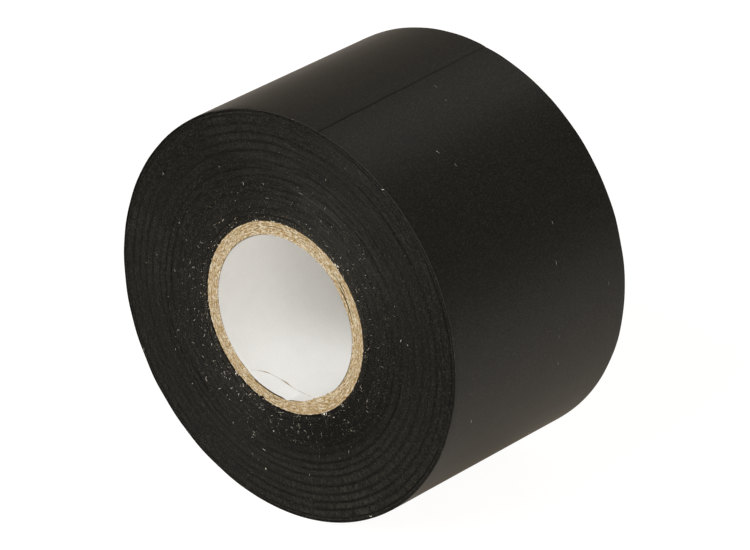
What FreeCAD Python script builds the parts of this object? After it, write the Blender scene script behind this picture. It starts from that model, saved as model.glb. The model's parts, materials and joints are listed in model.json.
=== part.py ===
import FreeCAD
import Part
import Sketcher

import math
import os

# A roll of 50 mm electrical insulation tape on a spiral-wound paper core, in millimetres.
#
# Frame: the origin is the centre of the bore, +Y is the roll's axis and +Z is up, with the roll
# lying on its curved side. The front face is the one towards -Y.
#
# The tape is one strip wound clockwise, as seen from the front. Each turn lies on the one before,
# so the outside of the roll is a spiral: it grows by one tape thickness in a turn and steps down
# by as much at the cut end. The spiral is drawn as two half circles whose centres are half a
# thickness apart on the line through the cut end. In the sketches of the tape the local X axis
# points at the cut end, and the bodies are turned to bring it to its place on the roll.

SIZES = {
    "roll_diameter": 80,  # over the cut end, where the roll is largest
    "core_length": 50,
    "bore_diameter": 32,
    "liner_thickness": 0.2,
    "ply_thickness": 0.5,
    "ply_count": 5,
    "rim_width": 48.8,  # the outer turns are narrower than the squeezed turns at the core
    "tape_thickness": 0.15,
    "cut_end_angle": 10,  # clockwise from the top, seen from the front
    "tail_span": 30,  # the part of the last turn that is lifted to start the tape
    "tail_clearance": 0.03,  # under the tail, so that it lifts without touching
    "cutter_margin": 1,
}

BORE_RADIUS = "sizes.bore_diameter / 2"
ROLL_RADIUS = "sizes.roll_diameter / 2"
CORE_RADIUS = f"({BORE_RADIUS} + sizes.liner_thickness + sizes.ply_count * sizes.ply_thickness)"
SPIRAL_OFFSET = "sizes.tape_thickness / 4"
OUTER_ARC_RADIUS = f"({ROLL_RADIUS} - {SPIRAL_OFFSET})"
INNER_ARC_RADIUS = f"({OUTER_ARC_RADIUS} - sizes.tape_thickness)"

# Sketcher's names for a point of an edge, and for the sketch's origin and horizontal axis.
START, END, CENTRE = 1, 2, 3
ORIGIN = (-1, 1)
X_AXIS = -1


def make_sheet(doc):
    """The spreadsheet of driving dimensions, one alias to a row."""
    sheet = doc.addObject("Spreadsheet::Sheet", "sizes")
    for row, (alias, value) in enumerate(SIZES.items(), start=1):
        sheet.set(f"A{row}", alias)
        sheet.set(f"B{row}", str(value))
        sheet.setAlias(f"B{row}", alias)
    doc.recompute()
    return sheet


def make_body(doc, label):
    body = doc.addObject("PartDesign::Body", label)
    body.Label = label
    return body


def origin_plane(body, role):
    return next(plane for plane in body.Origin.OriginFeatures if plane.Role == role)


def make_sketch(body, name, role="XZ_Plane"):
    sketch = body.newObject("Sketcher::SketchObject", name)
    sketch.AttachmentSupport = (origin_plane(body, role), [""])
    sketch.MapMode = "FlatFace"
    return sketch


def bind(sketch, kind, *points, to):
    """Adds a dimension between the points given and ties it to an expression of the sheet."""
    value = FreeCAD.Units.Quantity(sketch.evalExpression(to)).Value
    if kind == "Angle":
        value = math.radians(value)
    index = sketch.addConstraint(Sketcher.Constraint(kind, *points, value))
    sketch.setExpression(f"Constraints[{index}]", to)


def join(sketch, edge_a, point_a, edge_b, point_b):
    sketch.addConstraint(Sketcher.Constraint("Coincident", edge_a, point_a, edge_b, point_b))


def put_on(sketch, edge, point, line):
    sketch.addConstraint(Sketcher.Constraint("PointOnObject", edge, point, line))


def add_pad(body, sketch, length):
    """Extrudes the sketch by the same amount each way from the roll's middle plane."""
    pad = body.newObject("PartDesign::Pad", "pad")
    pad.Profile = sketch
    pad.SideType = "Symmetric"
    pad.setExpression("Length", length)
    sketch.Visibility = False
    return pad


def add_arc(sketch, centre_x, radius, first_angle, last_angle):
    """An arc about a point of the local X axis, with its angles in degrees."""
    circle = Part.Circle(FreeCAD.Vector(centre_x, 0, 0), FreeCAD.Vector(0, 0, 1), radius)
    first, last = math.radians(first_angle), math.radians(last_angle)
    return sketch.addGeometry(Part.ArcOfCircle(circle, first, last))


def add_line(sketch, start, end, construction=False):
    line = Part.LineSegment(FreeCAD.Vector(*start, 0), FreeCAD.Vector(*end, 0))
    return sketch.addGeometry(line, construction)


def close_with_line(sketch, edge_a, point_a, edge_b, point_b):
    """A straight edge from one arc's end to another's."""
    start, end = sketch.getPoint(edge_a, point_a), sketch.getPoint(edge_b, point_b)
    line = add_line(sketch, (start.x, start.y), (end.x, end.y))
    join(sketch, line, START, edge_a, point_a)
    join(sketch, line, END, edge_b, point_b)


def make_tube(doc, label, inner_radius, outer_radius):
    """One layer of the core: a plain tube of the core's full length."""
    body = make_body(doc, label)
    sketch = make_sketch(body, "section")
    for radius in (inner_radius, outer_radius):
        circle = sketch.addGeometry(Part.Circle())
        join(sketch, circle, CENTRE, *ORIGIN)
        bind(sketch, "Radius", circle, to=radius)
    add_pad(body, sketch, "sizes.core_length")
    return body


def add_spiral(sketch, sheet, radius, radius_now):
    """The two half circles of a spiral. The larger one ends at the cut end's line, and the
    smaller one starts there, one tape thickness further in."""
    offset = sheet.tape_thickness / 4
    large = add_arc(sketch, offset, radius_now, 0, 180)
    small = add_arc(sketch, -offset, radius_now - 2 * offset, 180, 360)
    put_on(sketch, large, CENTRE, X_AXIS)
    put_on(sketch, small, CENTRE, X_AXIS)
    bind(sketch, "DistanceX", *ORIGIN, large, CENTRE, to=SPIRAL_OFFSET)
    bind(sketch, "DistanceX", small, CENTRE, *ORIGIN, to=SPIRAL_OFFSET)
    bind(sketch, "Radius", large, to=radius)
    put_on(sketch, large, END, X_AXIS)
    join(sketch, small, START, large, END)
    put_on(sketch, small, END, X_AXIS)
    return large, small


def add_root_line(sketch, sheet, large, radius_now):
    """A construction line from the large half circle's centre to the root of the tail."""
    offset, span = sheet.tape_thickness / 4, math.radians(sheet.tail_span)
    root = (offset + radius_now * math.cos(span), radius_now * math.sin(span))
    line = add_line(sketch, (offset, 0), root, construction=True)
    join(sketch, line, START, large, CENTRE)
    bind(sketch, "Angle", line, to="sizes.tail_span * 1 deg")
    return line


def turn_to_cut_end(body):
    """Turns a body about the roll's axis, to bring its local X axis to the cut end."""
    body.Placement.Rotation = FreeCAD.Rotation(FreeCAD.Vector(0, -1, 0), 1)
    body.setExpression("Placement.Rotation.Angle", "(90 - sizes.cut_end_angle) * 1 deg")


def make_wound_tape(doc, sheet):
    """All the turns but the last, as one mass with a spiral outside and coned side faces."""
    radius = (sheet.roll_diameter - sheet.tape_thickness / 2) / 2 - sheet.tape_thickness
    body = make_body(doc, "wound_tape")
    sketch = make_sketch(body, "section")
    large, small = add_spiral(sketch, sheet, INNER_ARC_RADIUS, radius)
    put_on(sketch, large, START, X_AXIS)
    close_with_line(sketch, small, END, large, START)
    hole = sketch.addGeometry(Part.Circle())
    join(sketch, hole, CENTRE, *ORIGIN)
    bind(sketch, "Radius", hole, to=CORE_RADIUS)
    add_pad(body, sketch, "sizes.core_length")

    profile = make_sketch(body, "cone_profile", "XY_Plane")
    inner, outer = sheet.bore_diameter, sheet.roll_diameter
    low, high = sheet.rim_width / 2, sheet.core_length
    corners = [(inner, high / 2), (outer, low), (outer, high), (inner, high)]
    edges = [add_line(profile, *ends) for ends in zip(corners, corners[1:] + corners[:1])]
    for edge, following in zip(edges, edges[1:] + edges[:1]):
        join(profile, edge, END, following, START)
    cone, rim, top, side = edges
    for edge in (rim, side):
        profile.addConstraint(Sketcher.Constraint("Vertical", edge))
    profile.addConstraint(Sketcher.Constraint("Horizontal", top))
    bind(profile, "DistanceX", *ORIGIN, cone, START, to=CORE_RADIUS)
    bind(profile, "DistanceY", *ORIGIN, cone, START, to="sizes.core_length / 2")
    bind(profile, "DistanceX", *ORIGIN, cone, END, to=ROLL_RADIUS)
    bind(profile, "DistanceY", *ORIGIN, cone, END, to="sizes.rim_width / 2")
    bind(profile, "DistanceY", *ORIGIN, top, START, to="sizes.core_length / 2 + sizes.cutter_margin")

    groove = body.newObject("PartDesign::Groove", "cone")
    groove.Profile = profile
    groove.ReferenceAxis = (profile, ["V_Axis"])
    groove.Angle = 360
    profile.Visibility = False
    mirror = body.newObject("PartDesign::Mirrored", "both_cones")
    mirror.Originals = [groove]
    mirror.MirrorPlane = (origin_plane(body, "XZ_Plane"), [""])
    body.Tip = mirror
    turn_to_cut_end(body)
    return body


def make_outer_turn(doc, sheet):
    """The last turn, from where it goes under the cut end round to the root of the tail."""
    radius = (sheet.roll_diameter - sheet.tape_thickness / 2) / 2
    body = make_body(doc, "outer_turn")
    sketch = make_sketch(body, "section")
    outer_large, outer_small = add_spiral(sketch, sheet, OUTER_ARC_RADIUS, radius)
    inner_large, inner_small = add_spiral(
        sketch, sheet, INNER_ARC_RADIUS, radius - sheet.tape_thickness
    )
    root_line = add_root_line(sketch, sheet, outer_large, radius)
    join(sketch, root_line, END, outer_large, START)
    put_on(sketch, inner_large, START, root_line)
    close_with_line(sketch, outer_large, START, inner_large, START)
    close_with_line(sketch, outer_small, END, inner_small, END)
    add_pad(body, sketch, "sizes.rim_width")
    turn_to_cut_end(body)
    return body


def make_tail(doc, sheet):
    """The free end of the tape, from its root to the cut."""
    radius = (sheet.roll_diameter - sheet.tape_thickness / 2) / 2
    thickness = sheet.tape_thickness - sheet.tail_clearance
    offset = sheet.tape_thickness / 4
    body = make_body(doc, "tape_tail")
    sketch = make_sketch(body, "section")
    outer = add_arc(sketch, offset, radius, 0, sheet.tail_span)
    inner = add_arc(sketch, offset, radius - thickness, 0, sheet.tail_span)
    put_on(sketch, outer, CENTRE, X_AXIS)
    bind(sketch, "DistanceX", *ORIGIN, outer, CENTRE, to=SPIRAL_OFFSET)
    join(sketch, inner, CENTRE, outer, CENTRE)
    bind(sketch, "Radius", outer, to=OUTER_ARC_RADIUS)
    bind(sketch, "Radius", inner, to=f"{INNER_ARC_RADIUS} + sizes.tail_clearance")
    for arc in (outer, inner):
        put_on(sketch, arc, START, X_AXIS)
    root_line = add_root_line(sketch, sheet, outer, radius)
    join(sketch, root_line, END, outer, END)
    put_on(sketch, inner, END, root_line)
    close_with_line(sketch, outer, START, inner, START)
    close_with_line(sketch, outer, END, inner, END)
    add_pad(body, sketch, "sizes.rim_width")
    turn_to_cut_end(body)
    return body


def make_core(doc, sheet):
    """The white liner and the kraft plies around it, from the bore outwards."""
    liner_radius = f"{BORE_RADIUS} + sizes.liner_thickness"
    layers = [make_tube(doc, "white_liner", BORE_RADIUS, liner_radius)]
    for number in range(1, int(sheet.ply_count) + 1):
        inner = f"{liner_radius} + {number - 1} * sizes.ply_thickness"
        outer = f"{liner_radius} + {number} * sizes.ply_thickness"
        layers.append(make_tube(doc, f"kraft_ply_{number}", inner, outer))
    return layers


def check(doc, bodies):
    """Stops if any object failed to recompute or any body isn't one valid solid."""
    for thing in doc.Objects:
        if "Invalid" in thing.State or "Error" in thing.State:
            raise RuntimeError(f"{thing.Name} is in state {thing.State}")
    for body in bodies:
        shape = body.Shape
        if shape.isNull() or not shape.isValid() or len(shape.Solids) != 1:
            raise RuntimeError(f"{body.Label} isn't one valid solid")


def print_facts(sheet, bodies):
    """Each body's volume, the whole box, and the hinge line at the root of the tail."""
    box = FreeCAD.BoundBox()
    for body in bodies:
        box.add(body.Shape.BoundBox)
        print(f"{body.Label}: {body.Shape.Volume:.1f} mm3")
    print(f"box: {box.XLength:.3f} x {box.YLength:.3f} x {box.ZLength:.3f} mm")
    offset = sheet.tape_thickness / 4
    radius = sheet.roll_diameter / 2 - offset
    span = math.radians(sheet.tail_span)
    along, across = offset + radius * math.cos(span), radius * math.sin(span)
    cut_end = math.radians(90 - sheet.cut_end_angle)
    hinge_x = along * math.cos(cut_end) - across * math.sin(cut_end)
    hinge_z = along * math.sin(cut_end) + across * math.cos(cut_end)
    print(f"tail hinge: x {hinge_x:.4f}, z {hinge_z:.4f} mm")


def main():
    doc = FreeCAD.newDocument("electrical_tape_roll")
    sheet = make_sheet(doc)
    bodies = make_core(doc, sheet)
    bodies += [maker(doc, sheet) for maker in (make_wound_tape, make_outer_turn, make_tail)]
    doc.recompute()
    check(doc, bodies)
    os.makedirs("parts", exist_ok=True)
    for body in bodies:
        body.Shape.exportStep(os.path.join("parts", f"{body.Label}.step"))
    print_facts(sheet, bodies)


main()
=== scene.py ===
"""Looks of a roll of black PVC tape on a kraft-paper core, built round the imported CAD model.

The roll's axis is Y, and the face towards the camera is the one on the -Y side. Lengths are
millimetres until put_mesh() turns them into metres. An angle is a clock angle: degrees clockwise
from the top, seen from that face.
"""

import json
import math

import bpy
import numpy as np
from mathutils import Matrix, Vector


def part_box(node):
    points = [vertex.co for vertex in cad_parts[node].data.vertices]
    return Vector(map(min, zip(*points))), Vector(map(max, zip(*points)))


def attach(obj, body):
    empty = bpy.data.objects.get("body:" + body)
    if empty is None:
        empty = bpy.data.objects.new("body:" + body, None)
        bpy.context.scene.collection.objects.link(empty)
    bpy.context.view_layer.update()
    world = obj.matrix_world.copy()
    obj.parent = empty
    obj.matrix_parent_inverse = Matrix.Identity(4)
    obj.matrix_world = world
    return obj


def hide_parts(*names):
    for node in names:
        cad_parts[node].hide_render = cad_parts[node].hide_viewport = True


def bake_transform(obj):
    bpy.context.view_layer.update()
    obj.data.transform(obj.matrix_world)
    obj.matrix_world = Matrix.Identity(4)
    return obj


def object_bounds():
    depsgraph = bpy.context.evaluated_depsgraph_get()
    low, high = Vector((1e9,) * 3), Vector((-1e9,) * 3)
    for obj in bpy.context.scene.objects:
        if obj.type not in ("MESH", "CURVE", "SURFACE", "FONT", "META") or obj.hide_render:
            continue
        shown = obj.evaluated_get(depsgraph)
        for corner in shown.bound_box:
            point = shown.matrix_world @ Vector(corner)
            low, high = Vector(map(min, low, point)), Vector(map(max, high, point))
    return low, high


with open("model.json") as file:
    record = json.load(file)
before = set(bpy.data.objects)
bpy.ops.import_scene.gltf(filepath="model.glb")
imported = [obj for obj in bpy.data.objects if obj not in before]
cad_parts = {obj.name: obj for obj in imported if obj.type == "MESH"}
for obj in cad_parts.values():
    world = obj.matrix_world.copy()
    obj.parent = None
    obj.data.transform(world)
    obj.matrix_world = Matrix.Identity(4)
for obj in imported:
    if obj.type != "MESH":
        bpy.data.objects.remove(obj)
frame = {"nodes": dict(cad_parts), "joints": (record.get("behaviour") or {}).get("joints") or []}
cad_low, cad_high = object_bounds()

MM = 0.001
FRONT, BACK = -1, 1


def reach(node):
    """The least and greatest distance of a CAD node's points from the roll's axis."""
    distances = [math.hypot(v.co.x, v.co.z) / MM for v in frame["nodes"][node].data.vertices]
    return min(distances), max(distances)


PLIES = sorted(name for name in frame["nodes"] if name.startswith("kraft_ply"))
BORE_RADIUS, LINER_RADIUS = reach("white_liner")
CORE_RADIUS = reach(PLIES[-1])[1]
ROLL_RADIUS = reach("tape_tail")[1]
CORE_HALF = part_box("white_liner")[1].y / MM
FILM_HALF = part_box("outer_turn")[1].y / MM
HINGE = frame["joints"][0]

TAPE_THICKNESS = 0.15
FILM_THICKNESS = 0.14
TAIL_THICKNESS = 0.12
CUT_ANGLE = 10.0
CUT_SKEW = 0.041
ROOT_ANGLE = math.degrees(math.atan2(HINGE["pos_m"][0], HINGE["pos_m"][2]))
SEAM_ANGLE = ROOT_ANGLE - 3.0
FILM_START = ROOT_ANGLE - 6.0


# ---- noise and curves ----

LATTICE = 48


def lattice_noise(points, seed):
    """Smooth noise from -1 to 1 at an array of points, on a repeating lattice of random values."""
    table = np.random.default_rng(seed).uniform(-1, 1, (LATTICE,) * 3)
    cell = np.floor(points).astype(int)
    part = points - cell
    part = part * part * (3 - 2 * part)
    total = 0
    for corner in np.ndindex(2, 2, 2):
        share = np.prod(np.where(corner, part, 1 - part), axis=-1)
        total = total + share * table[tuple(np.moveaxis((cell + corner) % LATTICE, -1, 0))]
    return total


def ripple(angle, seed, low, high, count=7):
    """A wave round the roll, from about -1 to 1, with from low to high periods a turn."""
    random = np.random.default_rng(seed)
    periods = random.integers(low, high + 1, count)
    phases = random.uniform(0, 2 * math.pi, count)
    heights = random.uniform(0.5, 1, count)
    waves = [h * np.cos(n * np.radians(angle) + p) for n, p, h in zip(periods, phases, heights)]
    return np.sum(waves, axis=0) / math.sqrt(np.sum(heights ** 2) * 1.5)


def smooth_step(value, low, high):
    part = np.clip((value - low) / (high - low), 0, 1)
    return part * part * (3 - 2 * part)


def bump_at(angle, centre, half_width):
    """1 at a clock angle, falling smoothly to 0 half_width degrees away on each side."""
    away = (np.asarray(angle) - centre + 180) % 360 - 180
    return 1 - smooth_step(np.abs(away), 0, half_width)


def polar(angle, radius, depth):
    """Points at clock angles, distances from the axis and places along it."""
    angle, radius, depth = np.broadcast_arrays(np.radians(angle), radius, depth)
    return np.stack((radius * np.sin(angle), depth, radius * np.cos(angle)), -1)


# ---- meshes ----

def put_mesh(name, points, faces, materials, paint=None, fields=None, sharp=40):
    """Makes an object from points in millimetres. Its place attribute keeps them for the materials."""
    points = np.asarray(points, float).reshape(-1, 3)
    mesh = bpy.data.meshes.new(name)
    mesh.from_pydata((points * MM).tolist(), [], [list(face) for face in faces])
    for material in materials:
        mesh.materials.append(material)
    if paint is not None:
        mesh.polygons.foreach_set("material_index", np.asarray(paint, np.int32))
    mesh.attributes.new("place", "FLOAT_VECTOR", "POINT").data.foreach_set("vector", points.ravel())
    for field, values in (fields or {}).items():
        attribute = mesh.attributes.new(field, "FLOAT", "POINT")
        attribute.data.foreach_set("value", np.asarray(values, float).ravel())
    mesh.shade_smooth()
    mesh.set_sharp_from_angle(angle=math.radians(sharp))
    mesh.update()
    piece = bpy.data.objects.new(name, mesh)
    bpy.context.scene.collection.objects.link(piece)
    return piece


def signed_volume(points, quads):
    """Six times the volume inside closed quads, negative if they face inwards."""
    a, b, c, d = (points[quads[:, k]] for k in range(4))
    return np.sum(np.cross(a, b) * c) + np.sum(np.cross(a, c) * d)


def loft(name, rings, closed, materials, paint=None, fields=None, sharp=40):
    """A closed skin over an (n, m, 3) array: n rings round the roll, of m points each.

    A ring's second half runs back beside its first half, so that an open skin's ends are capped
    by strips from one half to the other. paint gives a material to each of a ring's m sides.
    """
    n, m = rings.shape[:2]
    index = np.arange(n * m).reshape(n, m)
    near, far = (index, np.roll(index, -1, 0)) if closed else (index[:-1], index[1:])
    quads = np.stack((near, far, np.roll(far, -1, 1), np.roll(near, -1, 1)), -1).reshape(-1, 4)
    colours = np.tile(np.zeros(m, int) if paint is None else paint, len(near))
    if not closed:
        k = np.arange(m // 2 - 1)
        for ring, turn in ((index[0], 1), (index[-1], -1)):
            cap = np.stack((ring[k], ring[k + 1], ring[m - 2 - k], ring[m - 1 - k]), -1)[:, ::turn]
            quads = np.concatenate((quads, cap))
            colours = np.concatenate((colours, np.full(len(cap), len(materials) - 1)))
    points = rings.reshape(-1, 3)
    if signed_volume(points, quads) < 0:
        quads = quads[:, ::-1]
    return put_mesh(name, points, quads, materials, colours, fields, sharp)


class Scraps:
    """Many tiny closed fibres and specks, gathered into one mesh."""

    def __init__(self):
        self.points = []
        self.faces = []

    def add(self, points, faces):
        base = sum(len(p) for p in self.points)
        self.points.append(np.asarray(points, float))
        self.faces += [[base + k for k in face] for face in faces]

    def add_speck(self, centre, normal, size, random):
        """A flattened eight-sided crumb, half sunk into the surface."""
        normal = np.asarray(normal, float)
        side = np.cross(normal, random.normal(size=3))
        side /= np.linalg.norm(side)
        other = np.cross(normal, side)
        corners = []
        for axis, thin in ((side, 1.0), (other, 0.7), (normal, 0.45)):
            for sign in (-1, 1):
                corners.append(centre + sign * thin * size * random.uniform(0.7, 1.2) * axis)
        sides = [(0, 2, 4), (2, 1, 4), (1, 3, 4), (3, 0, 4), (2, 0, 5), (1, 2, 5), (3, 1, 5), (0, 3, 5)]
        self.add(corners, sides)

    def add_fibre(self, path, normal, width):
        """A four-sided strand along path, drawn out to a point at each end."""
        path = np.asarray(path, float)
        along = np.gradient(path, axis=0)
        side = np.cross(along, normal)
        side /= np.linalg.norm(side, axis=1, keepdims=True)
        up = np.broadcast_to(np.asarray(normal, float), side.shape) * 0.7
        inner = path[1:-1]
        rings = [inner + width / 2 * way for way in (side[1:-1], up[1:-1], -side[1:-1], -up[1:-1])]
        rings = np.stack(rings, 1)
        count = len(inner)
        points = np.concatenate((path[:1], rings.reshape(-1, 3), path[-1:]))
        last = len(points) - 1
        faces = []
        for k in range(4):
            after = (k + 1) % 4
            faces.append((0, 1 + k, 1 + after))
            faces.append((last, last - 4 + after, last - 4 + k))
            for ring in range(count - 1):
                base = 1 + 4 * ring
                faces.append((base + k, base + 4 + k, base + 4 + after, base + after))
        self.add(points, faces)

    def put(self, name, material):
        """Makes the mesh, as a piece that rides on the roll."""
        piece = put_mesh(name, np.concatenate(self.points), self.faces, [material], sharp=50)
        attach(piece, "roll")


# ---- materials ----

class Shader:
    """A material's node tree, with short calls that add and link nodes."""

    def __init__(self, name):
        self.material = bpy.data.materials.new(name)
        self.material.use_nodes = True
        self.tree = self.material.node_tree
        self.tree.nodes.clear()
        self.surface = self.add("ShaderNodeBsdfPrincipled")
        output = self.add("ShaderNodeOutputMaterial")
        self.tree.links.new(self.surface.outputs["BSDF"], output.inputs["Surface"])
        self.place = self.add("ShaderNodeAttribute", attribute_name="place").outputs["Vector"]

    def add(self, kind, inputs=None, **settings):
        node = self.tree.nodes.new(kind)
        for name, value in settings.items():
            setattr(node, name, value)
        for name, value in (inputs or {}).items():
            self.feed(node.inputs[name], value)
        return node

    def feed(self, socket, value):
        if isinstance(value, bpy.types.NodeSocket):
            self.tree.links.new(value, socket)
        else:
            socket.default_value = value

    def math(self, operation, a, b=0.0, c=0.0):
        node = self.add("ShaderNodeMath", operation=operation)
        for socket, value in zip(node.inputs, (a, b, c)):
            self.feed(socket, value)
        return node.outputs[0]

    def field(self, name):
        return self.add("ShaderNodeAttribute", attribute_name=name).outputs["Fac"]

    def stretched(self, x, y, z):
        """The place in millimetres, with each axis divided by a length in millimetres."""
        factors = (1 / x, 1 / y, 1 / z)
        scale = self.add("ShaderNodeVectorMath", {0: self.place, 1: factors}, operation="MULTIPLY")
        return scale.outputs["Vector"]

    def round_axis(self, across, along):
        """A vector whose noise runs in spots of these sizes round and away from the axis.

        across holds at 30 mm from the axis. The second result is the distance from the axis.
        """
        flat = self.add("ShaderNodeVectorMath", {0: self.place, 1: (1, 0, 1)}, operation="MULTIPLY")
        flat = flat.outputs["Vector"]
        radius = self.add("ShaderNodeVectorMath", {0: flat}, operation="LENGTH").outputs["Value"]
        unit = self.add("ShaderNodeVectorMath", {0: flat}, operation="NORMALIZE").outputs["Vector"]
        wide = self.add("ShaderNodeVectorMath", {0: unit, "Scale": 30 / across}, operation="SCALE")
        parts = self.add("ShaderNodeSeparateXYZ", {0: wide.outputs["Vector"]})
        height = self.math("DIVIDE", radius, along)
        made = self.add("ShaderNodeCombineXYZ", {0: parts.outputs["X"], 1: height, 2: parts.outputs["Z"]})
        return made.outputs["Vector"], radius

    def noise(self, vector, detail=2.0, rough=0.5, offset=0.0):
        if offset:
            shift = self.add("ShaderNodeVectorMath", {0: vector, 1: (offset,) * 3}, operation="ADD")
            vector = shift.outputs["Vector"]
        settings = {"Vector": vector, "Scale": 1.0, "Detail": detail, "Roughness": rough}
        return self.add("ShaderNodeTexNoise", settings).outputs["Fac"]

    def spread(self, value, low, high, to_low=0.0, to_high=1.0, smooth=False):
        """A value from low to high, clamped and brought to another range."""
        kind = "SMOOTHSTEP" if smooth else "LINEAR"
        ranges = {"Value": value, "From Min": low, "From Max": high, "To Min": to_low, "To Max": to_high}
        return self.add("ShaderNodeMapRange", ranges, interpolation_type=kind, clamp=True).outputs[0]

    def mix(self, share, a, b):
        node = self.add("ShaderNodeMix", data_type="RGBA")
        for socket, value in ((node.inputs[0], share), (node.inputs[6], a), (node.inputs[7], b)):
            self.feed(socket, (*value, 1.0) if isinstance(value, tuple) else value)
        return node.outputs[2]

    def bump(self, height, distance, strength=1.0, normal=None):
        """A normal from a height; distance is in millimetres."""
        node = self.add("ShaderNodeBump", {"Height": height, "Distance": distance * MM, "Strength": strength})
        if normal is not None:
            self.feed(node.inputs["Normal"], normal)
        return node.outputs["Normal"]

    def finish(self, **values):
        for name, value in values.items():
            socket = self.surface.inputs[name.replace("_", " ")]
            self.feed(socket, (*value, 1.0) if isinstance(value, tuple) else value)
        return self.material


def film_material():
    """Satin black PVC: fine grain, slack waves and pale scuffs, with painted shade beside the tail's cut end,
    from a field that is 1 there.
    """
    shader = Shader("pvc_film")
    grain = shader.noise(shader.stretched(0.22, 0.22, 0.22), 3.0, 0.6)
    drawn = shader.noise(shader.stretched(7.0, 0.5, 7.0), 2.0, 0.55, offset=11.0)
    slack = shader.noise(shader.stretched(14.0, 9.0, 14.0), 2.0, 0.5, offset=23.0)
    blotch = shader.noise(shader.stretched(5.0, 5.0, 5.0), 3.0, 0.55, offset=5.0)
    scuffs = shader.noise(shader.stretched(0.9, 4.0, 0.9), 2.0, 0.6, offset=31.0)
    scuffs = shader.math("MULTIPLY", shader.spread(scuffs, 0.38, 0.62), shader.field("wear"))
    specks = shader.noise(shader.stretched(0.28, 0.28, 0.28), 2.0, 0.7, offset=53.0)
    black = shader.mix(blotch, (0.0024, 0.0023, 0.0018), (0.0048, 0.0045, 0.0036))
    black = shader.mix(shader.spread(specks, 0.46, 0.73, 0.0, 0.65), black, (0.0400, 0.0386, 0.0310))
    black = shader.mix(shader.math("MULTIPLY", scuffs, 0.16), black, (0.060, 0.055, 0.046))
    # Painted shade beside the tail's cut end.
    black = shader.mix(shader.math("MULTIPLY", shader.field("painted_cut_shade"), 0.55), black, (0.0010, 0.0009, 0.0008))
    rough = shader.spread(grain, 0.3, 0.7, 0.36, 0.46)
    rough = shader.math("MULTIPLY_ADD", scuffs, 0.05, rough)
    normal = shader.bump(slack, 0.05)
    normal = shader.bump(drawn, 0.006, normal=normal)
    normal = shader.bump(grain, 0.0035, normal=normal)
    shader.finish(Sheen_Weight=0.05, Sheen_Roughness=0.35, Sheen_Tint=(1.0, 0.78, 0.52))
    return shader.finish(Base_Color=black, Roughness=rough, Normal=normal, Specular_IOR_Level=0.22)


def cut_edge_material():
    """The slit edge and cut end of the film: matt, stretched grey-black, with small nicks."""
    shader = Shader("film_cut_edge")
    nicks = shader.noise(shader.stretched(0.5, 0.5, 0.5), 3.0, 0.6, offset=2.0)
    tone = shader.noise(shader.stretched(6.0, 6.0, 6.0), 2.0, 0.5, offset=8.0)
    grey = shader.mix(tone, (0.008, 0.0075, 0.0064), (0.030, 0.028, 0.024))
    grey = shader.mix(shader.spread(nicks, 0.62, 0.74), grey, (0.16, 0.148, 0.12))
    normal = shader.bump(nicks, 0.02)
    rough = shader.spread(nicks, 0.3, 0.7, 0.45, 0.65)
    return shader.finish(Base_Color=grey, Roughness=rough, Normal=normal, Specular_IOR_Level=0.18)


def adhesive_material():
    """The tape's sticky side: glossy, mottled brown-black."""
    shader = Shader("tape_adhesive")
    mottle = shader.noise(shader.stretched(1.3, 1.3, 1.3), 3.0, 0.6, offset=3.0)
    lines = shader.noise(shader.stretched(9.0, 0.35, 9.0), 2.0, 0.5, offset=17.0)
    black = shader.mix(mottle, (0.006, 0.005, 0.004), (0.017, 0.013, 0.009))
    rough = shader.spread(mottle, 0.3, 0.7, 0.16, 0.34)
    normal = shader.bump(lines, 0.01)
    normal = shader.bump(mottle, 0.012, normal=normal)
    return shader.finish(Base_Color=black, Roughness=rough, Normal=normal, Specular_IOR_Level=0.4)


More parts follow.
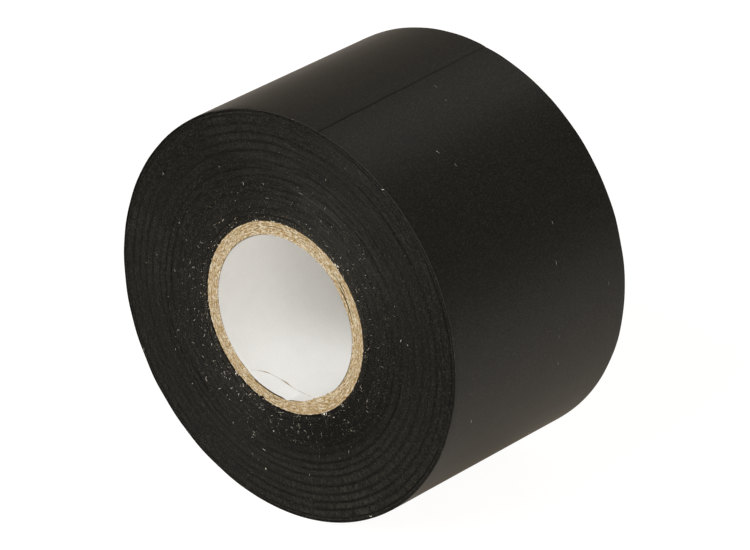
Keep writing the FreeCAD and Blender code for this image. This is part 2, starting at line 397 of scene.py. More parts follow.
def edges_material():
    """The wound tape's side: the slit edges of its turns, in bands, dusted with paper fibre.

    The drag field is 1 where the knife left streaks. The field that paints light and shade is 1
    where painted shade darkens the face, and -1 where a painted highlight, the fan of sheen off the
    turns' edges, brightens it.
    """
    shader = Shader("pvc_edges")
    band = shader.field("band")
    turns, radius = shader.round_axis(8.0, 0.26)
    turns = shader.noise(turns, 3.0, 0.62)
    broad = shader.noise(shader.round_axis(16.0, 2.4)[0], 2.0, 0.55, offset=67.0)
    fine_turn = shader.math("SINE", shader.math("MULTIPLY", radius, 2 * math.pi / TAPE_THICKNESS))
    streaks = shader.noise(shader.round_axis(0.26, 1.3)[0], 2.0, 0.6, offset=7.0)
    drag = shader.field("drag")
    painted_light = shader.field("painted_light")
    grit = shader.noise(shader.stretched(0.30, 0.30, 0.30), 2.0, 0.7, offset=59.0)
    tone = shader.add("ShaderNodeTexWhiteNoise", {"W": shader.math("FLOOR", band)}, noise_dimensions="1D")
    part = shader.math("FRACT", band)
    to_edge = shader.math("MINIMUM", part, shader.math("SUBTRACT", 1.0, part))
    # Where the painted shade of the grooves falls, near each band's edge.
    groove = shader.spread(to_edge, 0.0, 0.17, 1.0, 0.0, smooth=True)
    dragged = shader.math("MULTIPLY", drag, shader.spread(streaks, 0.42, 0.66))
    dragged = shader.math("MULTIPLY", dragged, shader.spread(to_edge, 0.10, 0.30))
    ring = shader.math("FLOOR", shader.math("ADD", band, 77.5))
    ring = shader.add("ShaderNodeTexWhiteNoise", {"W": ring}, noise_dimensions="1D").outputs["Value"]
    groove = shader.math("MULTIPLY", groove, shader.spread(broad, 0.38, 0.62, 0.05, 0.85))
    groove = shader.math("MULTIPLY", groove, shader.spread(ring, 0.0, 1.0, 0.15, 1.0))
    pale = shader.math("MULTIPLY", tone.outputs["Value"], shader.spread(broad, 0.35, 0.65))
    black = shader.mix(pale, (0.0009, 0.0009, 0.0007), (0.0044, 0.0042, 0.0034))
    black = shader.mix(shader.spread(turns, 0.42, 0.66, 0.0, 0.8), black, (0.0074, 0.0071, 0.0057))
    black = shader.mix(dragged, black, (0.030, 0.028, 0.0225))
    black = shader.mix(shader.spread(grit, 0.51, 0.74, 0.0, 0.85), black, (0.042, 0.0402, 0.0325))
    # Painted shade darkens the grooves between the bands.
    black = shader.mix(groove, black, (0.0011, 0.0010, 0.0008))
    # Painted shade, where the light field is above 0.
    black = shader.mix(shader.spread(painted_light, 0.0, 1.0, 0.0, 0.75), black, (0.0008, 0.0007, 0.0006))
    # Painted highlight: the turns' pattern made paler where the light field is below 0.
    painted_highlight = shader.spread(painted_light, 0.0, -1.0, 0.0, 0.75)
    highlit_strings = shader.math("MULTIPLY", shader.spread(turns, 0.45, 0.60), painted_highlight)
    black = shader.mix(highlit_strings, black, (0.026, 0.0250, 0.0205))
    dust = shader.noise(shader.stretched(0.19, 0.19, 0.19), 1.0, 0.5, offset=41.0)
    near_core = shader.spread(radius, CORE_RADIUS, CORE_RADIUS + 11.0, 1.0, 0.0)
    dust = shader.math("ADD", dust, shader.math("MULTIPLY", near_core, 0.075))
    dust = shader.spread(dust, 0.73, 0.82)
    black = shader.mix(shader.math("MULTIPLY", dust, 0.8), black, (0.30, 0.255, 0.18))
    normal = shader.bump(shader.math("MULTIPLY", streaks, drag), 0.05)
    normal = shader.bump(turns, 0.08, normal=normal)
    normal = shader.bump(fine_turn, 0.026, normal=normal)
    rough = shader.spread(turns, 0.3, 0.7, 0.38, 0.56)
    return shader.finish(Base_Color=black, Roughness=rough, Normal=normal, Specular_IOR_Level=0.085)


def kraft_material():
    """Grey-brown kraft board: matted fibres, pale and dark, that run with the core's winding."""
    shader = Shader("kraft_paper")
    matted = shader.noise(shader.stretched(0.32, 0.32, 0.32), 4.0, 0.68)
    fibres = shader.noise(shader.round_axis(1.4, 0.21)[0], 3.0, 0.62, offset=13.0)
    tone = shader.noise(shader.stretched(2.6, 2.6, 2.6), 2.0, 0.5, offset=29.0)
    colour = shader.mix(shader.spread(matted, 0.40, 0.60), (0.200, 0.116, 0.022), (0.52, 0.446, 0.300))
    colour = shader.mix(shader.spread(fibres, 0.51, 0.61, 0.0, 0.8), colour, (0.62, 0.570, 0.470))
    colour = shader.mix(shader.spread(fibres, 0.47, 0.38, 0.0, 0.8), colour, (0.190, 0.106, 0.018))
    colour = shader.mix(shader.spread(tone, 0.35, 0.65, 0.0, 0.35), colour, (0.33, 0.215, 0.090))
    normal = shader.bump(matted, 0.10)
    normal = shader.bump(fibres, 0.08, normal=normal)
    rough = shader.spread(matted, 0.3, 0.7, 0.80, 0.95)
    return shader.finish(Base_Color=colour, Roughness=rough, Normal=normal, Specular_IOR_Level=0.25)


def paper_material():
    """White lining paper with a faint tooth, and a cracked crease where its fold field is 0, with painted
    shade beside it.
    """
    shader = Shader("white_paper")
    tooth = shader.noise(shader.stretched(0.25, 0.25, 0.25), 3.0, 0.6)
    cloud = shader.noise(shader.stretched(3.5, 3.5, 3.5), 2.0, 0.5, offset=9.0)
    breaks = shader.noise(shader.stretched(0.9, 0.9, 0.9), 2.0, 0.6, offset=37.0)
    off_fold = shader.math("ABSOLUTE", shader.field("fold"))
    torn = shader.field("torn")
    width = shader.math("MULTIPLY_ADD", torn, 0.10, shader.spread(breaks, 0.35, 0.60, 0.0, 0.07))
    crack = shader.math("LESS_THAN", off_fold, width)
    bare = shader.mix(torn, (0.42, 0.39, 0.34), (0.25, 0.155, 0.060))
    # Painted shade beside the crease.
    crease_shade = shader.spread(off_fold, 0.03, 0.22, 0.30, 0.0, smooth=True)
    white = shader.mix(cloud, (0.80, 0.80, 0.79), (0.86, 0.86, 0.85))
    white = shader.mix(shader.spread(tooth, 0.42, 0.70, 0.0, 0.28), white, (0.70, 0.68, 0.64))
    white = shader.mix(shader.math("MULTIPLY", crease_shade, breaks), white, (0.60, 0.56, 0.50))
    white = shader.mix(shader.math("MULTIPLY", crack, 0.9), white, bare)
    normal = shader.bump(tooth, 0.012)
    normal = shader.bump(cloud, 0.03, normal=normal)
    rough = shader.spread(tooth, 0.3, 0.7, 0.50, 0.64)
    return shader.finish(Base_Color=white, Roughness=rough, Normal=normal, Specular_IOR_Level=0.35)


def gap_shade_material():
    """Dark brown faces inside the core's gaps and splits: painted shade over the torn board and its glue."""
    shader = Shader("painted_gap_shade")
    torn = shader.noise(shader.stretched(0.5, 0.5, 0.5), 3.0, 0.6)
    brown = shader.mix(torn, (0.016, 0.011, 0.007), (0.100, 0.062, 0.030))
    rough = shader.spread(torn, 0.3, 0.7, 0.6, 0.9)
    return shader.finish(Base_Color=brown, Roughness=rough, Normal=shader.bump(torn, 0.03))


def dust_material():
    """Pale paper fibre and crumbs off the core."""
    shader = Shader("paper_dust")
    tone = shader.noise(shader.stretched(0.8, 0.8, 0.8), 2.0, 0.5)
    fine = shader.noise(shader.stretched(0.08, 0.08, 0.08), 2.0, 0.5, offset=3.0)
    colour = shader.mix(shader.spread(tone, 0.34, 0.52), (0.50, 0.40, 0.26), (0.94, 0.89, 0.79))
    rough = shader.spread(fine, 0.3, 0.7, 0.75, 0.95)
    normal = shader.bump(fine, 0.02)
    return shader.finish(Base_Color=colour, Roughness=rough, Normal=normal, Specular_IOR_Level=0.25)


# ---- the wound tape ----

BAND_PITCH = 1.62
BAND_OFFSET = 0.3
BAND_WOBBLE = 0.10
RIM_BANDS = (0.30, 0.17)
BAND_STEPS = (0.0, 0.045, 0.11, 0.24, 0.40, 0.56, 0.72, 0.84, 0.92, 0.965)
WINDING_ANGLES = 288
RIM_ROUNDING = 0.22
RIM_DROP = 0.42
CORE_DROP = 0.12


def turn_radius(angle):
    """The outer radius of the turn that ends at the cut end, one full turn back to just past it."""
    turns_back = (CUT_ANGLE - np.asarray(angle, float)) / 360
    return ROLL_RADIUS - TAPE_THICKNESS * turns_back


def winding_radius(angle):
    """The radius under the outer turn, which begins at FILM_START and laps over itself."""
    from_start = (np.asarray(angle, float) - FILM_START) % 360
    return turn_radius(FILM_START + from_start - 360) - TAPE_THICKNESS


def band_edges(angle):
    """The radii between the winding's bands, at each clock angle: an (angles, bands + 1) array."""
    random = np.random.default_rng(11)
    inner = CORE_RADIUS + 0.02
    outer = winding_radius(angle)[:, None]
    count = round((WINDING_TOP - inner) / BAND_PITCH)
    widths = np.concatenate((random.uniform(0.75, 1.25, count), RIM_BANDS))
    share = np.concatenate(([0.0], np.cumsum(widths) / np.sum(widths)))
    free = np.sin(math.pi * share)
    off_centre = -BAND_OFFSET * np.cos(np.radians(angle))[:, None] * free
    wobble = np.stack([ripple(angle, 100 + k, 2, 9) for k in range(len(share))], 1)
    return inner + share * (outer - inner) + off_centre + BAND_WOBBLE * wobble * free


WINDING_TOP = float(winding_radius(FILM_START - 1.0))


def band_relief(side, angle, band, radius):
    """How far the winding's side stands proud of its cone, from angle, band number and radius."""
    random = np.random.default_rng(21 + side)
    levels = random.uniform(-0.045, 0.045, 64)
    crowns = random.uniform(0.02, 0.07, 64)
    depths = 0.012 + 0.10 * random.random(64) ** 2
    number = np.floor(band).astype(int)
    part = band - number
    nearest = np.round(band).astype(int)
    flow = np.stack((np.sin(np.radians(angle)) * 3, np.cos(np.radians(angle)) * 3, nearest * 5.3), -1)
    patchy = smooth_step(lattice_noise(flow, 31 + side), -0.5, 0.6)
    to_edge = np.abs(band - nearest) * BAND_PITCH
    groove = depths[nearest] * patchy * np.exp(-(to_edge / 0.15) ** 2)
    level = levels[number] * (1 - part) + levels[number + 1] * part
    crown = crowns[number] * (1 - (2 * part - 1) ** 2)
    place = polar(angle, radius, 0.0)
    broad = 0.05 * lattice_noise(place / 9.0, 41 + side)
    fine = 0.012 * lattice_noise(place / 0.7, 43 + side)
    return level + crown + broad + fine - groove


def face_place(radius):
    """The cone that the winding's side follows: as wide as the core inside, as the tape at the rim."""
    share = (radius - CORE_RADIUS) / (WINDING_TOP - CORE_RADIUS)
    return CORE_HALF - 0.04 - (CORE_HALF - FILM_HALF - 0.02) * share


def face_points(side, angle, band, radius):
    to_rim = winding_radius(angle) - radius
    rim = RIM_DROP * np.clip(1 - to_rim / RIM_ROUNDING, 0, 1) ** 2
    core = CORE_DROP * np.clip(1 - (radius - CORE_RADIUS) / 0.35, 0, 1) ** 2
    free = smooth_step(to_rim, 0.0, 0.3) * 0.8 + 0.2
    proud = band_relief(side, angle, band, radius) * free - rim - core
    return polar(angle, radius, side * (face_place(radius) + proud))


def winding():
    """Every turn under the outer one, as one ring with a banded, grooved side at each end."""
    angle = np.linspace(-180, 180, WINDING_ANGLES, endpoint=False)
    edges = band_edges(angle)
    count = edges.shape[1] - 1
    band = np.concatenate([k + np.array(BAND_STEPS) for k in range(count)] + [[count - 1e-4]])
    number = np.floor(band).astype(int)
    part = band - number
    radius = edges[:, number] * (1 - part) + edges[:, number + 1] * part
    wide_angle = np.broadcast_to(angle[:, None], radius.shape)
    wide_band = np.broadcast_to(band, radius.shape)
    front = face_points(FRONT, wide_angle, wide_band, radius)
    back = face_points(BACK, wide_angle, wide_band, radius)[:, ::-1]
    share = np.linspace(0, 1, 6)[1:-1, None]
    outer = front[:, -1:] * (1 - share) + back[:, :1] * share
    inner = back[:, -1:] * (1 - share) + front[:, :1] * share
    rings = np.concatenate((front, outer, back, inner), 1)
    middle = np.full((len(angle), len(share)), 0.5)
    place = polar(wide_angle, radius, 0.0)
    drag = bump_at(wide_angle, 152.0, 62.0) * smooth_step(radius, 22.0, 29.0)
    drag = drag + 0.5 * smooth_step(lattice_noise(place / 8.0, 47), 0.15, 0.7)
    # Painted light on the face: painted shade at the lower right near the core (1), and a painted highlight
    # towards the top (-1).
    painted_light = bump_at(wide_angle, 150.0, 75.0) * (1 - smooth_step(radius, 24.0, 30.0))
    painted_light = painted_light - bump_at(wide_angle, 22.0, 60.0) * (1 - 0.6 * smooth_step(radius, 26.0, 32.0))
    between = {"band": middle, "drag": 0 * middle, "painted_light": 0 * middle}
    fields = {"band": wide_band, "drag": drag, "painted_light": painted_light}
    fields = {k: np.concatenate((v, between[k], v[:, ::-1], between[k]), 1) for k, v in fields.items()}
    piece = loft("winding", rings, True, [edges_material()], fields=fields)
    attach(piece, "roll")
    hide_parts("wound_tape")


# ---- the outer turn and its tail ----

FILM_ROWS = 34
FILM_PAINT = np.array([0] * (FILM_ROWS - 1) + [2] + [1] * (FILM_ROWS - 1) + [2])
FILM_STEP = 0.5
TAIL_COLUMNS = 132
EDGE_WAVE = 0.05
SCUFF_ANGLE = 26.0


def film_rows():
    """Places across the tape from edge to edge, closer together at the edges."""
    even = np.linspace(-1, 1, FILM_ROWS)
    return np.sin(even * math.pi / 2) * 0.5 + even * 0.5


def film_surface(angle, across):
    """The top of the outer turn: clock angle, place across from -1 to 1, to points."""
    half = FILM_HALF + EDGE_WAVE * ripple(angle, 61, 3, 40) - 0.03
    place = polar(angle, turn_radius(angle), across * half)
    lift = 0.010 * lattice_noise(place / (9.0, 5.0, 9.0), 63) + 0.004 * lattice_noise(place / 2.2, 64)
    rounded = -0.03 * smooth_step(np.abs(across), 0.992, 1.0)
    return place, lift + rounded


def film_skin(angle, thickness, extra=0.0):
    """Rings of a film: the top from the front edge to the back edge, then the underside back."""
    across = film_rows()[None, :]
    angle, across = np.broadcast_arrays(angle, across)
    top, lift = film_surface(angle, across)
    outward = polar(angle, 1.0, 0.0)
    upper = top + outward * (lift + extra)[..., None]
    under = np.maximum(extra, 0) - thickness + np.zeros(angle.shape)
    lower = top + outward * under[..., None]
    return np.concatenate((upper, lower[:, ::-1]), 1)


def outer_turn(skins):
    """The last full turn. It starts under the tail and stops where the tail's own piece begins."""
    angle = np.arange(FILM_START - 360, SEAM_ANGLE + FILM_STEP / 2, FILM_STEP)[:, None]
    angle[-1] = SEAM_ANGLE
    rings = film_skin(angle, FILM_THICKNESS)
    place = film_rows()[None, :] * FILM_HALF
    wear = bump_at(angle, SCUFF_ANGLE, 3.2) * smooth_step(place, 2.0, 20.0)
    fields = {"wear": np.concatenate((wear, wear[:, ::-1]), 1)}
    piece = loft("outer_turn_film", rings, False, skins, FILM_PAINT, fields)
    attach(piece, "roll")
    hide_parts("outer_turn")


def cut_line(across):
    """The cut end's clock angle across the tape: slightly skewed and torn slightly uneven."""
    place = across * FILM_HALF
    uneven = 0.07 * np.sin(place * 0.55 + 1.0) + 0.05 * np.sin(place * 1.37 + 0.4)
    return CUT_ANGLE + 0.25 - CUT_SKEW * place + uneven


def tail(skins):
    """The free end of the tape, with a little of the turn behind the line where it peels."""
    share = np.linspace(0, 1, TAIL_COLUMNS)[:, None]
    across = film_rows()[None, :]
    cut = cut_line(across)
    angle = SEAM_ANGLE + share * (cut - SEAM_ANGLE)
    ruffle = (0.5 + 0.5 * np.sin(across * 7.0 + 0.6) * np.cos(across * 17.0)) * (0.65 - 0.35 * across)
    to_cut = (cut - angle) * math.radians(1) * ROLL_RADIUS
    extra = 0.028 * ruffle * smooth_step(-to_cut, -2.2, 0.0)
    thinned = 0.062 + 0.040 * smooth_step(across, -0.6, 0.7)
    extra = extra - thinned * smooth_step(-to_cut, -1.3, 0.0)
    rings = film_skin(angle, TAIL_THICKNESS, extra)
    # Painted shade on the top layer over the last 1.3 mm before the cut end.
    painted_cut_shade = smooth_step(-to_cut, -1.3, -0.3) * (1 - 0.5 * smooth_step(across, 0.0, 0.9))
    fields = {"painted_cut_shade": np.concatenate((painted_cut_shade, painted_cut_shade[:, ::-1]), 1)}
    piece = loft("tape_tail_film", rings, False, skins, FILM_PAINT, fields)
    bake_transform(piece)
    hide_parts("tape_tail")


# ---- the core ----

CORE_ANGLES = 480
PLY_ENDS = (0.10, 0.30, 0.70, 1.40, 2.60, 5.0)
SKIN_THICKNESS = 0.07


def stations(ends, length):
    """Distances along a tube from its front end: close together near both ends."""
    ends = np.array(ends)
    return np.concatenate((ends, [length * 0.35, length * 0.65], length - ends[::-1]))


def tube(name, angle, inner, outer, along, end_shape, materials, fields=None, paint=None):
    """A tube whose walls pass through inner and outer radii at places along, with shaped ends.

    end_shape gives an end's setback, from the clock angle, the share of the wall and the side.
    """
    across = np.array((0.12, 0.32, 0.5, 0.68, 0.88))
    low, high = -CORE_HALF, CORE_HALF
    front_wall = inner[:, :1] + (outer[:, :1] - inner[:, :1]) * across
    back_wall = inner[:, -1:] + (outer[:, -1:] - inner[:, -1:]) * across
    wide = np.broadcast_to(angle[:, None], front_wall.shape)
    front = polar(wide, front_wall, low + end_shape(wide, across, FRONT))
    back = polar(wide, back_wall, high - end_shape(wide, across, BACK))[:, ::-1]
    walls = [polar(angle[:, None], radius, low + along) for radius in (outer, inner)]
    rings = np.concatenate((walls[0], back, walls[1][:, ::-1], front), 1)
    if fields:
        end = np.full(front_wall.shape, 9.0)
        fields = {k: np.concatenate((v, end, v[:, ::-1], end), 1) for k, v in fields.items()}
    return loft(name, rings, True, materials, paint, fields, sharp=55)


def split(angle, depth, centre, half_width, opening, deep):
    """A lens-shaped opening between two layers, widest at the core's end."""
    return opening * bump_at(angle, centre, half_width) * (1 - smooth_step(depth, 0.0, deep))


# Where the core's front end is pressed in: depth, clock angle and half width in degrees.
LIPS = ((0.34, 28.0, 75.0), (0.22, 61.0, 17.0), (0.55, 148.0, 26.0), (0.12, -125.0, 25.0))
# Openings over a ply: its number, clock angle, half width in degrees, opening and depth.
SPLITS = (
    (1, 62.0, 17.0, 0.26, 2.5),
    (2, 50.0, 12.0, 0.16, 3.0),
    (2, -170.0, 12.0, 0.07, 3.0),
    (3, -8.0, 14.0, 0.07, 3.0),
)
LINING_SPLIT = (62.0, 17.0, 0.10, 5.0)
NOTCH_ANGLE = -163.0
FLAP_ANGLE = -172.0


def pressed_lip(angle, along):
    """How far the core's cut end, ragged all round, is pressed in over the bore at the front."""
    reach_in = sum(depth * bump_at(angle, centre, half_width) for depth, centre, half_width in LIPS)
    ragged = 1 + 0.22 * ripple(angle, 240, 20, 130, 30)
    off_flap = 1 - bump_at(angle, FLAP_ANGLE, 40.0)
    burr = 0.10 * np.clip(ripple(angle, 241, 25, 150, 30), 0, 1.6) * off_flap
    return (reach_in * ragged + burr) * (1 - smooth_step(along, 0.10, 0.85))


def flap_dent(angle, along):
    """How far the core's wall is pushed outwards behind the lining's lifted flap."""
    beside = smooth_step(bump_at(angle, FOLD_FROM - 22.0, 28.0), 0.0, 0.6)
    return 0.44 * beside * (1 - smooth_step(along, 0.4, 4.5))


def ply_gap(number, angle, depth):
    """How far the joint above ply number opens, at each angle and distance from the nearer end."""
    ragged = 0.02 + 0.03 * ripple(angle, 200 + number, 5, 60)
    gap = np.clip(ragged, 0.003, None) * (1 - smooth_step(depth, 0.2, 3.0))
    if number == len(PLIES):
        frayed = 0.10 + 0.12 * ripple(angle, 230, 12, 150, 30)
        notch = 0.7 * bump_at(angle, NOTCH_ANGLE, 2.6)
        gap = (np.clip(frayed, 0.01, None) + notch) * (1 - smooth_step(depth, 0.2, 1.6))
    for ply, *shape in SPLITS:
        if ply == number:
            gap = gap + split(angle, depth, *shape)
    return gap


def kraft_plies(skins):
    """The core's kraft plies, one tube each, with fibrous ends and joints that open in places."""
    angle = np.linspace(-180, 180, CORE_ANGLES, endpoint=False)
    along = stations(PLY_ENDS, 2 * CORE_HALF)
    depth = np.minimum(along, 2 * CORE_HALF - along)[None, :]
    wide = np.broadcast_to(angle[:, None], (CORE_ANGLES, len(along)))
    count = len(along)
    # Painted shade: the plies' walls, seen only in the gaps between them, take the dark brown gap shade.
    paint = [1] * (count - 1) + [0] * 6 + [1] * (count - 1) + [0] * 6
    for number, node in enumerate(PLIES, 1):
        inner_radius, outer_radius = reach(node)
        below = ply_gap(number - 1, wide, depth)
        above = ply_gap(number, wide, depth)
        inner = inner_radius + below / 2
        outer = outer_radius - above / 2
        if number == 1:
            inner = inner - pressed_lip(wide, along) + 1.25 * flap_dent(wide, along)
            inner = np.minimum(inner, outer - 0.08)

        def end_shape(angle, across, side, seed=300 + 10 * number):
            place = polar(angle, 17.0 + across, 0.0)
            matted = lattice_noise(place / 0.33, seed + side) * 0.035
            coarse = lattice_noise(place / 1.7, seed + 3 + side) * 0.035
            rounding = 0.05 * (2 * across - 1) ** 4
            return 0.075 + matted + coarse + rounding

        piece = tube(f"{node}_board", angle, inner, outer, along, end_shape, skins, None, paint)
        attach(piece, "roll")
        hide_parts(node)


FOLD_FROM, FOLD_SPAN = -146.0, 51.0
FOLD_DEPTH = 4.35
FOLD_SLOPE = 0.02
TORN_CREASES = ((-153.0, 4.5), (-168.0, 7.0))
LINER_ENDS = (0.08, 0.25, 0.5, 0.8, 1.1, 1.4, 1.7, 2.0, 2.3, 2.6, 2.9, 3.2, 3.5, 3.8, 4.1, 4.6, 5.5, 8.0)


def fold_line(angle):
    """How deep in the bore the lifted flap's crease runs, at each clock angle; 0 off the flap."""
    share = ((FOLD_FROM - angle) % 360) / FOLD_SPAN
    inside = share < 1
    share = np.where(inside, share, 0.0)
    wander = 0.08 * np.sin(share * 19.0) * np.sin(math.pi * share)
    rise = 1 - (1 - share) ** 8
    fall = 1 - 0.47 * share ** 3
    return np.where(inside, FOLD_DEPTH * rise * fall + wander, 0.0)


def lining(skins):
    """The white lining: a backing glued to the kraft, and a skin that has lifted at one place.

    skins are the paper, the painted gap shade and the kraft, which shows at the backing's ends.
    """
    angle = np.linspace(-180, 180, CORE_ANGLES, endpoint=False)
    along = stations(LINER_ENDS, 2 * CORE_HALF)[None, :]
    wide = np.broadcast_to(angle[:, None], (CORE_ANGLES, along.shape[1]))
    crease = fold_line(wide)
    torn_crease = sum(bump_at(wide, centre, half_width) for centre, half_width in TORN_CREASES)
    dent = flap_dent(wide, along)
    loose = FOLD_SLOPE * np.clip(crease - along, 0, None) * bump_at(wide, FOLD_FROM - 24.0, 26.0)
    lift = loose - dent * (0.34 + 0.66 * bump_at(wide, -182.0, 5.0))
    swell = 0.02 * lattice_noise(polar(wide, 16.0, along) / 6.0, 71)
    opened = split(wide, along, *LINING_SPLIT)
    backing = (BORE_RADIUS + SKIN_THICKNESS - opened + dent, LINER_RADIUS - opened + 1.25 * dent)
    layers = {
        "paper_backing": (*backing, 0.26, np.full(wide.shape, 9.0)),
        "paper_skin": (
            BORE_RADIUS + swell - opened - lift,
            BORE_RADIUS + SKIN_THICKNESS - 0.005 + swell.clip(None, 0) - opened - lift,
            0.13,
            np.where(crease > 0.3, along - crease, 9.0),
        ),
    }
    for seed, (name, (inner, outer, back_set, fold)) in enumerate(layers.items(), 80):

        def end_shape(angle, across, side, seed=seed, back_set=back_set):
            uneven = np.clip(ripple(angle, seed + 4 * side, 2, 9), -1, 1) * 0.5
            ragged = ripple(angle, seed + 9 * side, 30, 140, 24)
            torn = smooth_step(ripple(angle, seed + 7 * side, 5, 30, 12), 0.45, 1.2) * 1.6
            flap = 1 - 0.9 * smooth_step(fold_line(angle), 0.2, 1.5) * (side == FRONT)
            under_lip = 3.4 * pressed_lip(angle, 0.0) * (side == FRONT)
            return back_set * flap * (1 + uneven + 0.35 * ragged + torn * (1 + 0.5 * ragged)) + under_lip

        count = along.shape[1]
        # Painted shade: the skin's outer wall and the backing's inner wall face each other across the flap's
        # slit, and take the dark brown gap shade.
        outside, inside, ends = (1, 0, 0) if name == "paper_skin" else (0, 1, 2)
        paint = [outside] * (count - 1) + [ends] * 6 + [inside] * (count - 1) + [ends] * 6
        fields = {"fold": fold, "torn": torn_crease}
        piece = tube(name, angle, inner, outer, along, end_shape, skins, fields, paint)
        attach(piece, "roll")
        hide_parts("white_liner")


# ---- paper dust and loose fibres ----

def on_face(side, angle, radius):
    """The points of the winding's side at clock angles and radii."""
    edges = band_edges(angle)
    band = np.array([np.interp(r, row, np.arange(len(row))) for r, row in zip(radius, edges)])
    return face_points(side, angle, np.clip(band, 0, edges.shape[1] - 1.001), radius)


def curl(start, heading, length, bend, normal, lift, steps=6):
    """A short curved path over a surface, raised by lift in its middle."""
    normal = np.asarray(normal, float)
    path = [np.asarray(start, float)]
    side = np.cross(normal, heading)
    for step in range(steps):
        turn = bend * (step + 0.5) / steps
        path.append(path[-1] + (heading * math.cos(turn) + side * math.sin(turn)) * length / steps)
    rise = np.sin(np.linspace(0, math.pi, steps + 1)) * lift
    return np.array(path) + rise[:, None] * normal


# Larger crumbs on the front face: clock angle and distance from the axis.
FRONT_CRUMBS = ((-173.0, 24.1), (-171.0, 32.9), (41.5, 19.15), (42.3, 19.3), (-141.5, 19.1), (144.5, 20.1))
DUST_COUNT = 950
DRAGGED_COUNT = 40
LINING_CRUMBS = 320


def face_dust(name, side, material, seed):
    """Crumbs and short fibres on one side of the winding, thickest beside the core."""
    random = np.random.default_rng(seed)
    scraps = Scraps()
    normal = np.array((0.0, side, 0.0))
    out = np.minimum(random.exponential(3.6, DUST_COUNT), WINDING_TOP - CORE_RADIUS - 1.2)
    radius = CORE_RADIUS + 0.4 + out
    angle = random.uniform(-180, 180, DUST_COUNT)
    thick = bump_at(angle, -125.0, 130.0) > random.uniform(-0.30, 0.9, DUST_COUNT)
    radius, angle = radius[thick], angle[thick]
    for centre, turn in zip(on_face(side, angle, radius), random.uniform(0, 1, len(angle))):
        if turn < 0.74:
            size = 0.028 + 0.07 * random.random() ** 3
            scraps.add_speck(centre, normal, size, random)
            continue
        way = random.uniform(-math.pi, math.pi)
        heading = np.array((math.cos(way), 0.0, math.sin(way)))
        length = random.uniform(0.25, 0.9)
        path = curl(centre, heading, length, random.normal(0, 1.1), normal, 0.05)
        scraps.add_fibre(path, normal, random.uniform(0.026, 0.050))
    dragged = random.uniform((20, 19.2), (178, 27.0), (DRAGGED_COUNT, 2))
    for centre, angle in zip(on_face(side, dragged[:, 0], dragged[:, 1]), dragged[:, 0]):
        heading = polar(angle + random.normal(0, 12), 1.0, 0.0)
        path = curl(centre, heading, random.uniform(0.3, 1.0), random.normal(0, 0.2), normal, 0.03)
        scraps.add_fibre(path, normal, random.uniform(0.014, 0.026))
    bright = random.uniform((-178, 23.0), (-128, 36.0), (3, 2))
    stray = random.uniform((-180, 20.5), (180, 38.0), (12, 2))
    seen = np.array(FRONT_CRUMBS if side == FRONT else ())[:, None]
    for where, size in ((bright, 0.10), (stray, 0.065), *((crumb, 0.17) for crumb in seen)):
        for centre in on_face(side, where[:, 0], where[:, 1]):
            scraps.add_speck(centre, normal, size * random.uniform(0.8, 1.2), random)
    scraps.put(name, material)


TUFT_ANGLES = (-21.5, -8.0, 41.5, -141.5, 150.0)


def core_tufts(name, side, material, seed):
    """Fibres that stand out of the kraft core's outer edge over the first turns of tape."""
    random = np.random.default_rng(seed)
    scraps = Scraps()
    normal = np.array((0.0, side, 0.0))
    stray = [(angle, 1.0) for angle in random.uniform(-180, 180, 26)]
    tufts = [(centre + turn, 2.4) for centre in TUFT_ANGLES for turn in (-1.6, -0.4, 0.5, 1.4)]
    for angle, strength in stray + tufts:
        outward = polar(angle, 1.0, 0.0)
        round_way = polar(angle + 90, 1.0, 0.0)
        start = outward * (CORE_RADIUS - 0.08) + normal * (CORE_HALF - 0.12)
        heading = outward * random.uniform(0.3, 1.0) + round_way * random.normal(0, 0.8 / strength)
        heading /= np.linalg.norm(heading)
        length = random.uniform(0.3, 0.75) * math.sqrt(strength)
        path = curl(start, heading, length, random.normal(0, 0.8), normal, 0.07)
        scraps.add_fibre(path, normal, random.uniform(0.03, 0.06) * strength)
    scraps.put(name, material)


def lining_crumbs(name, side, material, seed):
    """White scraps of the lining's ragged edge, caught on the ends of the kraft plies."""
    random = np.random.default_rng(seed)
    scraps = Scraps()
    normal = np.array((0.0, side, 0.0))
    angle = random.uniform(-180, 180, LINING_CRUMBS)
    chance = 0.12 + 0.8 * bump_at(angle, -85.0, 60.0)
    held = (chance > random.random(LINING_CRUMBS)) & (flap_dent(angle, 0.0) < 0.01)
    for place in angle[held]:
        radius = LINER_RADIUS + 0.02 + min(random.exponential(0.20), 0.8)
        centre = polar(place, radius, side * (CORE_HALF - 0.045))
        scraps.add_speck(centre, normal, random.uniform(0.07, 0.18), random)
    scraps.put(name, material)


def rim_fibres(material):
    """A few paper fibres caught on the roll's front rim, one of them on the left side."""
    random = np.random.default_rng(97)
    scraps = Scraps()
    for angle in (-116.0, 35.0, 150.0):
        outward = polar(angle, 1.0, 0.0)
        round_way = polar(angle + 90, 1.0, 0.0)
        start = outward * (WINDING_TOP - 0.6) + np.array((0.0, -FILM_HALF + 0.02, 0.0))
        heading = outward * 0.6 + round_way * random.choice((-0.8, 0.8))
        scraps.add_fibre(curl(start, heading, 0.8, 0.7, (0.0, -1.0, 0.0), 0.10), (0.0, -1.0, 0.0), 0.06)
    scraps.put("rim_fibres", material)


# Fibres seen on the film: clock angle, place along the axis and width.
SEEN_LINT = (
    (32.5, -8.0, 0.034), (20.0, 4.0, 0.024), (37.5, -6.5, 0.018), (62.5, 8.0, 0.034), (14.0, 5.5, 0.016),
)


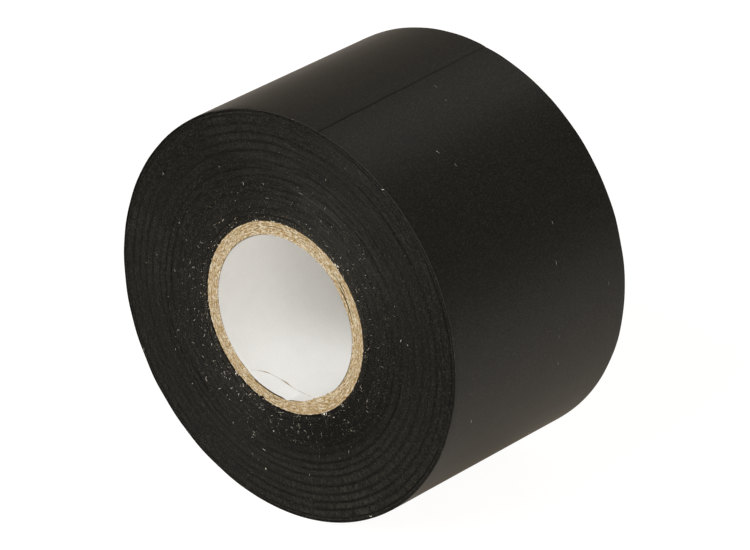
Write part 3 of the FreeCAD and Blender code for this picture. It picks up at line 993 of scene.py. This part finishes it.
def film_lint(material):
    """A few short pale fibres on the outer turn, most of them lying along the tape."""
    random = np.random.default_rng(131)
    scraps = Scraps()
    stray = random.uniform((66.0, -0.9 * FILM_HALF, 0.012), (330.0, 0.9 * FILM_HALF, 0.03), (14, 3))
    for angle, place, width in (*SEEN_LINT, *stray):
        outward = polar(angle, 1.0, 0.0)
        round_way = polar(angle + 90, 1.0, 0.0)
        start = outward * (float(turn_radius(angle)) + 0.004) + np.array((0.0, place, 0.0))
        heading = round_way + np.array((0.0, random.normal(0, 0.15), 0.0))
        heading /= np.linalg.norm(heading)
        path = curl(start, heading, random.uniform(0.5, 1.1), random.normal(0, 0.25), outward, 0.008)
        scraps.add_fibre(path, outward, width)
    scraps.put("film_lint", material)


# ---- stage, lights and camera ----

CAMERA_AZIMUTH = 40.16
CAMERA_ELEVATION = 25.30
CAMERA_LENS = 285.0
CAMERA_RIGHT, CAMERA_UP, CAMERA_AWAY = 0.4119, 0.1973, 26.95


def show_to_camera(tree, share, real, seen, output):
    """Mixes seen into real, by its share, for the camera's own rays only."""
    ray = tree.nodes.new("ShaderNodeLightPath")
    part = tree.nodes.new("ShaderNodeMath")
    part.operation = "MULTIPLY"
    part.inputs[1].default_value = share
    blend = tree.nodes.new("ShaderNodeMixShader")
    tree.links.new(ray.outputs["Is Camera Ray"], part.inputs[0])
    for socket, value in zip(blend.inputs, (part, real, seen)):
        tree.links.new(value.outputs[0], socket)
    tree.links.new(blend.outputs["Shader"], tree.nodes[output].inputs["Surface"])


def stage_material():
    """A pale floor that stays near white in the picture, with only a soft shadow."""
    material = bpy.data.materials.new("pale_floor")
    material.use_nodes = True
    tree = material.node_tree
    surface = tree.nodes["Principled BSDF"]
    surface.inputs["Base Color"].default_value = (0.80, 0.79, 0.77, 1.0)
    surface.inputs["Roughness"].default_value = 0.9
    surface.inputs["Specular IOR Level"].default_value = 0.1
    surface.inputs["Emission Color"].default_value = (1.0, 0.84, 0.64, 1.0)
    surface.inputs["Emission Strength"].default_value = 0.20
    glow = tree.nodes.new("ShaderNodeEmission")
    glow.inputs["Strength"].default_value = 1.15
    show_to_camera(tree, 0.8, surface, glow, "Material Output")
    return material


def stage():
    """A plain pale floor under the roll."""
    half, level = 4000.0, cad_low.z / MM - 0.02
    corners = [(-half, -half, level), (half, -half, level), (half, half, level), (-half, half, level)]
    floor = put_mesh("floor", corners, [(0, 1, 2, 3)], [stage_material()])


def soft_world():
    """White to the camera, and a dimmer warm grey as the room's light."""
    world = bpy.data.worlds.new("studio")
    bpy.context.scene.world = world
    world.use_nodes = True
    tree = world.node_tree
    room = tree.nodes["Background"]
    room.inputs["Color"].default_value = (1.0, 0.91, 0.80, 1.0)
    room.inputs["Strength"].default_value = 0.27
    white = tree.nodes.new("ShaderNodeBackground")
    white.inputs["Color"].default_value = (1.0, 1.0, 1.0, 1.0)
    white.inputs["Strength"].default_value = 1.2
    show_to_camera(tree, 1.0, room, white, "World Output")


def area_light(name, place, size, power):
    """A square soft box at a place in metres, aimed at the middle of the roll."""
    data = bpy.data.lights.new(name, "AREA")
    data.size = size
    data.energy = power
    light = bpy.data.objects.new(name, data)
    light.location = place
    light.rotation_euler = (-Vector(place)).to_track_quat("-Z", "Y").to_euler()
    bpy.context.scene.collection.objects.link(light)


def lights():
    soft_world()
    area_light("key", (-0.12, -1.15, 0.85), 0.9, 18.0)
    area_light("fill", (0.95, -0.90, 0.30), 0.9, 6.5)
    area_light("back", (-0.15, 0.95, 1.0), 0.6, 0.8)


def camera():
    """The photograph's camera: a long lens, looking down at the front face from the right.

    Its place is counted in roll radii from the middle of the front face.
    """
    turn, tilt = math.radians(CAMERA_AZIMUTH), math.radians(CAMERA_ELEVATION)
    forward = Vector((-math.sin(turn) * math.cos(tilt), math.cos(turn) * math.cos(tilt), -math.sin(tilt)))
    right = Vector((math.cos(turn), math.sin(turn), 0.0))
    up = right.cross(forward)
    radius = ROLL_RADIUS * MM
    front_centre = Vector((0.0, -CORE_HALF * MM, 0.0))
    data = bpy.data.cameras.new("camera")
    data.lens = CAMERA_LENS
    data.sensor_width = 36.0
    data.clip_start = 0.01
    data.clip_end = 20.0
    eye = bpy.data.objects.new("camera", data)
    offset = CAMERA_RIGHT * right + CAMERA_UP * up - CAMERA_AWAY * forward
    eye.location = front_centre + radius * offset
    eye.rotation_euler = Matrix((right, up, -forward)).transposed().to_euler()
    bpy.context.scene.collection.objects.link(eye)
    bpy.context.scene.camera = eye


stage()
lights()
camera()
bpy.context.scene.view_settings.view_transform = "Standard"

winding()
tape_skins = [film_material(), adhesive_material(), cut_edge_material()]
outer_turn(tape_skins)
tail(tape_skins)
kraft = kraft_material()
gap_shade = gap_shade_material()
kraft_plies([kraft, gap_shade])
lining([paper_material(), gap_shade, kraft])
paper_dust = dust_material()
for label, side, seed in (("front", FRONT, 5), ("back", BACK, 6)):
    face_dust(f"paper_dust_{label}", side, paper_dust, seed)
    core_tufts(f"core_tufts_{label}", side, paper_dust, seed + 50)
    lining_crumbs(f"lining_crumbs_{label}", side, paper_dust, seed + 70)
rim_fibres(paper_dust)
film_lint(paper_dust)
